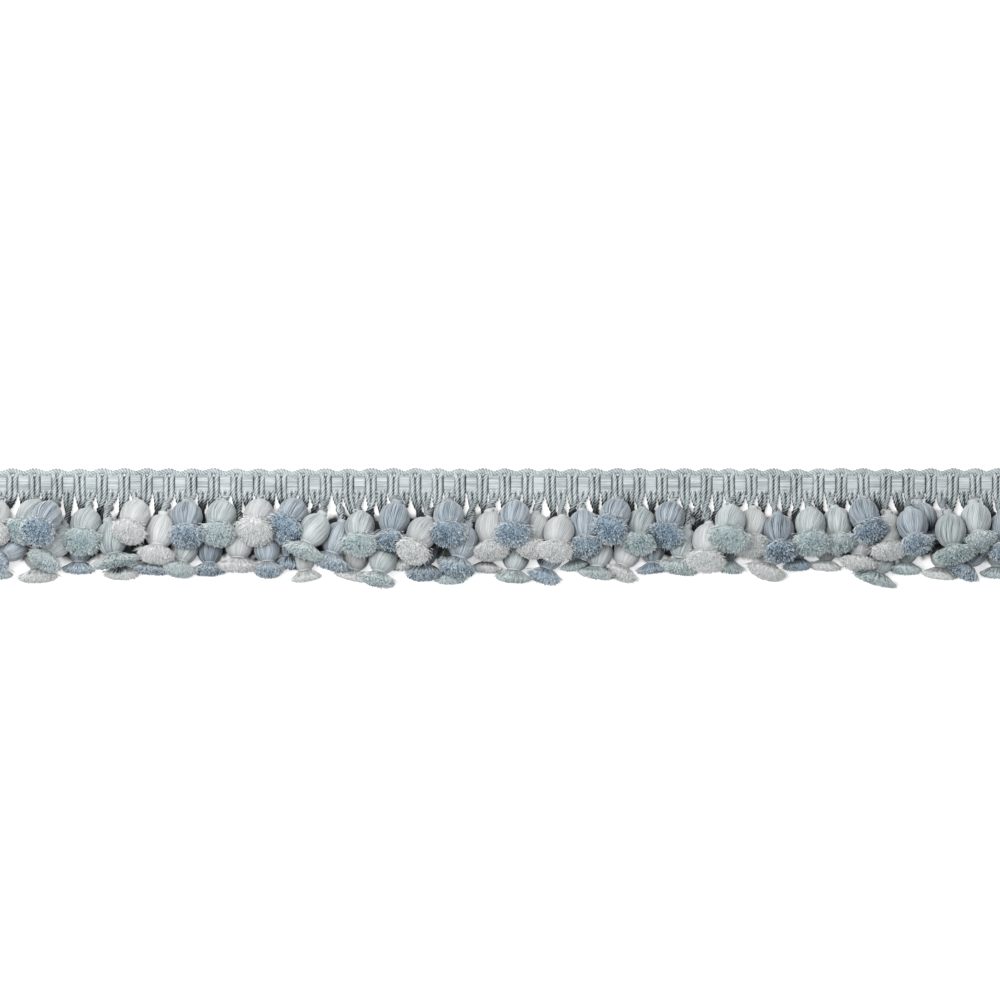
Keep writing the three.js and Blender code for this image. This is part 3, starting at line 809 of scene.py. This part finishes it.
def loop_skin(which, height, top, dip, leg_steps):
    """Skin of the loops in the given slots, with painted shade in the hollows of the pile, but not
    close to the heading, where the light still reaches them."""
    lines = loop_lines(slots[which], crowns[which], axes[which], height, top, dip, leg_steps)
    length = np.linalg.norm(np.diff(lines, axis=1), axis=2).sum(axis=1)
    print(f"{len(lines)} loops, each of {length.min():.0f} to {length.max():.0f} mm of cord")
    one = twisted_cord(lines, cord_crest(leg_steps), CORD_PLIES, CORD_LAY, paired=True)
    # Painted shade in the hollows of the pile.
    depth = CORD_HOLLOW_SHADE * smooth(*LIT_TO, -one["points"][:, 1])
    return hollowed(one, depth, np.repeat(owners[which], len(one["points"]) // len(lines)))


front_skin = loop_skin(slice(0, None, 2), FRONT_HEIGHT, RIB_TOP, FRONT_DIP, FRONT_STEPS)
place_piece("front_cords", front_skin, YARN["heading"], ["heading", "cord_loops"])
back_skin = loop_skin(slice(1, None, 2), BACK_HEIGHT, BACK_TOP, BACK_DIP, BACK_STEPS)
place_piece("back_loops", back_skin, YARN["heading"], ["cord_loops"])
print(f"front cords of {triangles(front_skin)} triangles, back loops of {triangles(back_skin)}")

# %% [markdown]
# ## Onion tassels
#
# A tassel is a round mould covered with yarn laid from the crown to the neck, bound there with a
# few turns of thread, and left to flare below as a dense brush that is cut off straight. The head
# is an onion outline turned about the axis, with a groove between every two yarns. The brush is
# made of real strands, since its granular cut face and ragged rim are what the eye looks for.
# The three yarns differ: the blue one is coarse and streaky, the sage one fine, the silver smooth.

# %% A tassel's outline and looks
HEAD_RADIUS = 7.7
HEAD_TOP = -8.7
HEAD_END = 7.5
CROWN_RADIUS = 1.5
NECK_RADIUS = 3.7
HEAD_RINGS = 12
OVAL = 0.035
WAVER = 0.03
WAVER_RATE = 0.5
WAVER_APART = 9.0
GROOVE_RANGE = (0.4, 1.6)
HEAD_STREAK = 0.1
HEADS_APART = 60.0
# Yarn that is laid side by side shines, and shows less of its dye's colour than its cut ends do.
LAID_CHROMA = {"blue": 0.53, "sage": 0.42, "silver": 0.5}
# Yarns around the head, depth of a groove in mm and how much darker it is painted as shade, how far
# yarns differ, their lay about the axis, the shades of head and brush, how far strands differ, and
# how tufts stand out, which also paints them lighter or darker.
LOOK = {
    "blue": {"yarns": 54, "groove": 0.42, "dark": 0.33, "uneven": 0.28, "lay": 0.12,
             "head": 0.555, "brush": 0.625, "speckle": 1.05, "tuft": 0.1},
    "sage": {"yarns": 48, "groove": 0.34, "dark": 0.27, "uneven": 0.24, "lay": 0.3,
             "head": 0.58, "brush": 0.745, "speckle": 0.9, "tuft": 0.06},
    "silver": {"yarns": 48, "groove": 0.26, "dark": 0.22, "uneven": 0.18, "lay": 0.2,
               "head": 0.525, "brush": 0.9, "speckle": 0.85, "tuft": 0.05},
}


def head_radius(s):
    """End radius + (head radius - end radius) (1 - |u|^2.2)^0.7, with u from -1 at the crown to 1
    at the neck."""
    u = (s - (HEAD_TOP + HEAD_END) / 2) / ((HEAD_END - HEAD_TOP) / 2)
    end = np.where(u < 0, CROWN_RADIUS, NECK_RADIUS)
    return end + (HEAD_RADIUS - end) * np.clip(1 - np.abs(u) ** 2.2, 0, 1) ** 0.7


def head(look):
    """The head: r(s) turned about the axis, less a groove at every other point around, with a
    slight lay of the yarns about the axis and each yarn a little higher or lower than the next. No
    yarn is quite straight, and no head quite round."""
    turn = np.linspace(0, np.pi, HEAD_RINGS)
    s = (HEAD_TOP + (HEAD_END - HEAD_TOP) * (1 - np.cos(turn)) / 2)[:, None]
    yarns = look["yarns"]
    spoke = np.arange(2 * yarns)
    crest = spoke % 2
    yarn = np.repeat(random.random((2, yarns)), 2, axis=1)
    base = 2 * np.pi * spoke / len(spoke)
    angle = base + look["lay"] * s / HEAD_END + WAVER * np.sin(WAVER_RATE * s + WAVER_APART * yarn[0])
    depth = look["groove"] * (1 - crest) * np.interp(yarn[1], [0, 1], GROOVE_RANGE)
    depth = depth + 0.5 * look["uneven"] * (yarn[0] - 0.5)
    oval = 1 + OVAL * random.random() * np.cos(2 * (angle - 2 * np.pi * random.random()))
    radius = head_radius(s) * (1 - depth / HEAD_RADIUS) * oval
    rings = xyz(radius * np.cos(angle), radius * np.sin(angle), s)
    # A groove between yarns is painted darker: painted shade.
    shade = look["head"] - look["dark"] * (1 - crest) + look["uneven"] * (yarn[0] - 0.5)
    fibre = xyz(HEAD_RADIUS * np.cos(base), HEAD_RADIUS * np.sin(base), HEAD_STREAK * s)
    return skin(rings[None], shade, 0.0, fibre + HEADS_APART * random.random(3))


# %% [markdown]
# ## The skirt's brush
#
# Below the neck the yarns hang loose and are cut across with shears, so a skirt is a dense brush
# with a blunt, slightly domed face. Hair particles could make it, but an export would lose them. So
# every strand is a thin tapered prism on a curve of its own, some hundreds to a tassel, over a
# plain body that closes the view between them. Real strands are finer and many more. These are
# drawn as coarse as they need to be to show.

# %% The cut of a skirt
RIM_RADIUS = 9.4
RIM_END = 12.5
FACE_CROWN = 3.1
DIMPLE_DEPTH = 0.7
DIMPLE_WIDTH = 0.16
STRAND_ROOT = 7.7
ROOT_RADIUS = 3.1
FLANK = 0.56
FLARE_SPREAD = 0.07
CROWN_SPREAD = 0.25
SLANT = 1.0


def hand_cut():
    """How one skirt differs from the next: how far it flares, how round its face is cut, and how far
    and to which side the cut slants."""
    flare, crown = np.clip(random.standard_normal(2), -2, 2)
    return {"flare": 1 + FLARE_SPREAD * flare, "crown": FACE_CROWN * (1 + CROWN_SPREAD * crown),
            "slant": SLANT * random.random(), "aim": 2 * np.pi * random.random()}


def brush_line(cut, out, turn, t):
    """Radius and place along the axis at a share t of the way of a strand that ends at a share out
    of the rim: a quadratic curve from the neck, out along the flank, and down to the cut face at
    s = rim + crown (1 - out^3)^0.6 + slant out cos(turn - aim), which is blunt at the rim, less a
    small dimple in the middle."""
    r_end = RIM_RADIUS * cut["flare"] * out
    s_end = RIM_END + cut["crown"] * np.clip(1 - out**3, 0, 1) ** 0.6
    s_end = s_end + cut["slant"] * out * np.cos(turn - cut["aim"])
    s_end = s_end - DIMPLE_DEPTH * np.exp(-((out / DIMPLE_WIDTH) ** 2))
    r_root = ROOT_RADIUS * out
    r_bend = r_root + FLANK * (r_end - r_root)
    s_bend = STRAND_ROOT + (1 - FLANK) * (s_end - STRAND_ROOT)
    r = r_root * (1 - t) ** 2 + 2 * r_bend * t * (1 - t) + r_end * t**2
    s = STRAND_ROOT * (1 - t) ** 2 + 2 * s_bend * t * (1 - t) + s_end * t**2
    return r, s


# %% The body of the brush
# The middle of the cut face is painted darker: painted shade.
CENTRE_PAINTED_SHADE = 0.22
CORE_SHARE = 0.9
# Shares of a strand's way along the flank, and then of the rim's radius across the face.
CORE_WAY = (0.05, 0.9)
CORE_FACE = (0.97, 0.1)
CORE_SPOKES = 26
FLANK_RINGS = 5
FACE_RINGS = 6
# How much darker the body is painted than the strands, as painted shade: at the neck, at the flank's
# end and on the face.
CORE_PAINTED_SHADE = (0.3, 0.16, 0.1)


def core(look, cut):
    """The body of the brush just under the strands' ends: the flank's own curve and then the cut
    face, turned about the axis. Its fibre is its place, so the yarn's streaks turn into grain."""
    t = np.concatenate([np.linspace(*CORE_WAY, FLANK_RINGS), np.full(FACE_RINGS, CORE_WAY[1])])
    out = np.concatenate([np.ones(FLANK_RINGS), np.linspace(*CORE_FACE, FACE_RINGS)])
    angle = 2 * np.pi * np.arange(CORE_SPOKES) / CORE_SPOKES
    r, s = brush_line(cut, out[:, None], angle, t[:, None])
    r = CORE_SHARE * r
    rings = xyz(r * np.cos(angle), r * np.sin(angle), s)[None]
    marks = [0, FLANK_RINGS - 1, FLANK_RINGS + 1]
    # Painted shade: darker at the neck, under the strands and in the middle of the face.
    deep = np.interp(np.arange(len(t)), marks, CORE_PAINTED_SHADE) + CENTRE_PAINTED_SHADE * (1 - out**2)
    return skin(rings, look["brush"] - deep[:, None], 0.0, rings)


# %% Strands in tufts
TUFT = (1.6, 3.0)
TUFT_WAVES = 6
TUFT_RISE = 2.2
STRAY_ALONG = 8.0
STRAY_AROUND = 0.06
THICK_SPREAD = 0.25
THICK_RANGE = (0.4, 1.5)
LEAST_PALE = 0.1
PALE_RIM = (0.88, 1.0)
PALE_WAY = (0.4, 0.9)
# How much darker a strand is painted at the neck, half way and close to its end: painted shade deep
# in the brush.
STRAND_PAINTED_SHADE = (0.2, 0.06, 0.0)
DEEP_WAY = (0.0, 0.5, 0.85)
STRANDS_APART = 5.0
STRAND_STREAK = 0.3


def tufts(out, turn):
    """How far a strand's tuft stands out of the cut face, about -1 to 1: waves of random length and
    direction across the face, added up, so that strands side by side belong together."""
    wave = 2 * np.pi / random.uniform(*TUFT, TUFT_WAVES)
    way, phase = 2 * np.pi * random.random((2, TUFT_WAVES))
    across = RIM_RADIUS * out[:, None] * np.cos(turn[:, None] - way)
    return np.sin(wave * across + phase).sum(axis=1) * np.sqrt(2 / TUFT_WAVES)


def strand_skin(look, cut, out, turn, steps, thick, spread, fray):
    """Tapered strands that end at the given shares of the rim's radius and turns about the axis.
    The first and last step are a strand's points, and a ring of three stands at each step between.
    Spread is how far the ends stray, as a share of the rim's radius, and fray how pale they can be."""
    count = len(out)
    stray = random.standard_normal((4, count))
    t = np.array(steps)
    tuft = look["tuft"] * tufts(out, turn)
    r, s = brush_line(cut, out[:, None], turn[:, None], t)
    r = r * (1 + spread * stray[0][:, None] * t**2)
    s = s + (STRAY_ALONG * spread * stray[1] + TUFT_RISE * tuft)[:, None] * t**2
    around = turn[:, None] + STRAY_AROUND * stray[2][:, None] * t
    lines = xyz(r * np.cos(around), r * np.sin(around), s)
    radius = thick * np.clip(1 + THICK_SPREAD * stray[3], *THICK_RANGE)
    corner = 2 * np.pi * np.arange(3) / 3
    angle = corner + 2 * np.pi * random.random((count, 1, 1)) + np.zeros((len(t), 1))
    rings = carried_rings(lines, radius[:, None, None], angle)[:, 1:-1]
    between = angle[:, 1:-1]
    # A tuft that stands out of the face is painted lighter and one that sinks darker: painted light and
    # shade.
    tone = look["brush"] + look["speckle"] * (random.random(count) - 0.5) + tuft
    # The middle of the face and a strand's root are painted darker: painted shade.
    tone = tone - CENTRE_PAINTED_SHADE * np.clip(1 - out**2, 0, 1)
    deep = np.interp(t[1:-1], DEEP_WAY, STRAND_PAINTED_SHADE)
    shade = tone[:, None, None] - deep[:, None]
    pale = random.random(count) * (LEAST_PALE + fray * smooth(*PALE_RIM, out))
    tip = pale[:, None, None] * np.interp(t[1:-1], PALE_WAY, [0.0, 1.0])[:, None]
    own = STRANDS_APART * np.arange(count)[:, None, None]
    fibre = xyz(own, 0.5 * np.cos(between), STRAND_STREAK * s[:, 1:-1, None])
    return skin(rings, shade, tip, fibre, lines[:, [0, -1]])


# %% A whole brush
# Steps are shares of a strand's way at which it has its points and rings.
FACE_STRANDS = 560
FLANK_STRANDS = 170
HAIRS = 110
STRAND = 0.3
ON_FACE = {"steps": (0.6, 0.94, 1.0), "thick": STRAND, "spread": 0.03, "fray": 0.7}
ON_FLANK = {"steps": (0.0, 0.3, 0.85, 1.0), "thick": 1.1 * STRAND, "spread": 0.035, "fray": 0.8}
AT_RIM = {"steps": (0.5, 0.8, 1.0), "thick": 0.55 * STRAND, "spread": 0.08, "fray": 1.8}
FACE_OUT = 0.97
FLANK_OUT = (0.94, 1.02)
HAIR_OUT = 0.26
PRESSED = 0.14
PROPPED = (0.45, 0.15)


def brush(look, share, rise):
    """Strand ends spread evenly over the cut face by the golden angle, strands that follow the flank
    from the neck, and fine stray hairs at the rim. The less its axis rises, the more of the skirt lies
    on the table or on its neighbours, which press it wider."""
    cut = hand_cut()
    cut["flare"] *= 1 + PRESSED * smooth(*PROPPED, rise)
    face, flank, hairs = (int(count * share) for count in (FACE_STRANDS, FLANK_STRANDS, HAIRS))
    k = np.arange(face) + 0.5
    turn = k * np.pi * (3 - np.sqrt(5)) + 0.1 * random.standard_normal(face)
    ends = strand_skin(look, cut, FACE_OUT * np.sqrt(k / face), turn, **ON_FACE)
    turn = 2 * np.pi * (np.arange(flank) + 0.6 * random.random(flank)) / flank
    out = random.uniform(*FLANK_OUT, flank)
    sides = strand_skin(look, cut, out, turn, **ON_FLANK)
    turn = 2 * np.pi * random.random(hairs)
    out = 1 + HAIR_OUT * random.random(hairs) ** 2
    fine = strand_skin(look, cut, out, turn, **AT_RIM)
    return [core(look, cut), ends, sides, fine]


# %% [markdown]
# ## Neck and crown
#
# A few turns of thread bind the yarns under the mould, and a wound collar closes the head where the
# loop goes in. Both could be plain rings, but the turns show on a real tassel, so each is one thread
# on a helix. On some tassels the end of the crown's own cord stands beside the loop as a small round
# eye.

# %% The binding and the collar
STEPS_A_TURN = 14
THREAD_STREAK = 0.3
THREAD_APART = 90.0
BINDING = {"turns": 3, "start": 7.1, "end": 8.1, "radius": 3.85, "thread": 0.38, "tone": 0.5}
COLLAR = {"turns": 4, "start": -10.2, "end": -8.1, "radius": 2.2, "thread": 0.5, "tone": 0.56}


def wound(turns, start, end, radius, thread, tone):
    """A thread wound about the axis: a helix of the given radius, and so many turns on the way."""
    turn = np.linspace(0, turns, turns * STEPS_A_TURN)
    s = start + (end - start) * turn / turns
    angle = 2 * np.pi * turn + 2 * np.pi * random.random()
    line = xyz(radius * np.cos(angle), radius * np.sin(angle), s)
    spoke = np.broadcast_to(2 * np.pi * np.arange(4) / 4, (1, len(turn), 4))
    rings = carried_rings(line[None], thread, spoke)
    fibre = xyz(np.cos(spoke), np.sin(spoke) + THREAD_APART, THREAD_STREAK * angle[:, None])
    return skin(rings, tone, 0.0, fibre)


# %% The eye at the crown
EYE_SHARE = 0.5
EYE_RADIUS = 1.45
EYE_CORD = 0.75
EYE_ALONG = -9.6
EYE_ASIDE = 2.3
EYE_UP = -0.7
EYE_OPEN = np.radians(150)
EYE_STEPS = 14
EYE_PLIES = 3
EYE_LAY = 2.6


def crown_eye():
    """Five sixths of a circle in the plane of the axis, on one side of the crown or the other, with
    both ends down in the head."""
    angle = np.linspace(-EYE_OPEN, EYE_OPEN, EYE_STEPS)
    side = random.choice([-1, 1])
    x = side * EYE_ASIDE + EYE_RADIUS * np.sin(angle)
    s = EYE_ALONG - EYE_RADIUS * np.cos(angle)
    line = xyz(x, EYE_UP, s)
    return twisted_cord(line[None], EYE_CORD, EYE_PLIES, EYE_LAY)


# %% Make and place the tassels
# Tassels underneath show little of their brush, so they get fewer strands.
DYE_SPREAD = 0.045
HIDDEN_SHARE = 0.4
ASKEW = (0.3, 0.2, 1.0)


def tassel_skin(tassel, share):
    """A whole tassel, turned so that its own third direction lies along the axis, and put in place."""
    look = LOOK[tassel["dye"]]
    laid = [head(look), wound(**BINDING), wound(**COLLAR)]
    if random.random() < EYE_SHARE:
        laid.append(crown_eye())
    for part in laid:
        part["chroma"][:] = LAID_CHROMA[tassel["dye"]]
    axis = tassel["axis"]
    one = join(laid + brush(look, share, axis[2]))
    first = np.cross(axis, ASKEW)
    first /= np.linalg.norm(first)
    basis = np.stack([first, np.cross(axis, first), axis])
    one["points"] = tassel["middle"] + tassel["size"] * one["points"] @ basis
    one["shade"] = one["shade"] + DYE_SPREAD * random.standard_normal()
    return one


total = 0
for own, tassel in enumerate(shown):
    one = hollowed(tassel_skin(tassel, 1.0), TASSEL_HOLLOW_SHADE, own)
    dye = tassel["dye"]
    node = tassel["node"]
    place_piece(f"{dye}_{node}", one, YARN[dye], [node])
    total += triangles(one)
print(f"{len(shown)} tassels, {total} triangles")
for dye in ("blue", "sage", "silver"):
    one = join([hollowed(tassel_skin(tassel, HIDDEN_SHARE), TASSEL_HOLLOW_SHADE, len(shown) + i)
                for i, tassel in enumerate(beneath) if tassel["dye"] == dye])
    place_piece(f"{dye}_tassels_beneath", one, YARN[dye], ["cord_loops"])
    print(f"{dye} tassels beneath, {triangles(one)} triangles")
